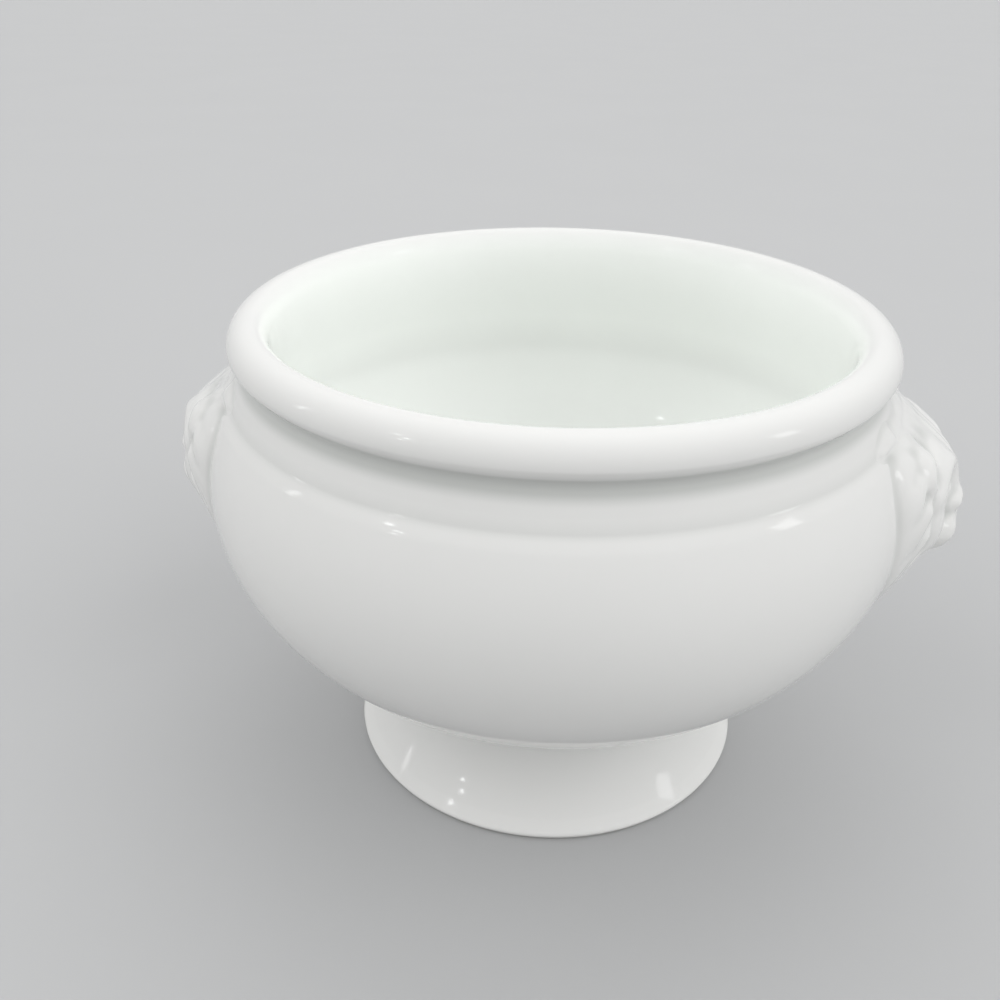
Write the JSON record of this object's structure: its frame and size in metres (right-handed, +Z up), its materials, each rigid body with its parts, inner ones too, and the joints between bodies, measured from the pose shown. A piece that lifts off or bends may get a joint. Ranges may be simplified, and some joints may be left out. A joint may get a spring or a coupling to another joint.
{
  "type": "french onion soup crock",
  "caption": "Round footed white porcelain soup bowl with a rolled rim, a banded neck and a lion's head lug on each side.",
  "frame": {"origin": "centre of the ring that the foot stands on, at the height of the table", "axes": "+Z up along the axis of the bowl, X through the noses of the two lion heads, Y across"},
  "size_m": [0.1438, 0.1224, 0.0872],
  "materials": {
    "glaze": "smooth clear gloss glaze over white porcelain, bare on the ring that stands on the table"
  },
  "bodies": {
    "root": {"bowl": "glaze", "foot": "glaze", "foot_slip_joint": "glaze", "left_lion_head": "glaze", "right_lion_head": "glaze", "left_head_slip_joint": "glaze", "right_head_slip_joint": "glaze"}
  },
  "joints": []
}
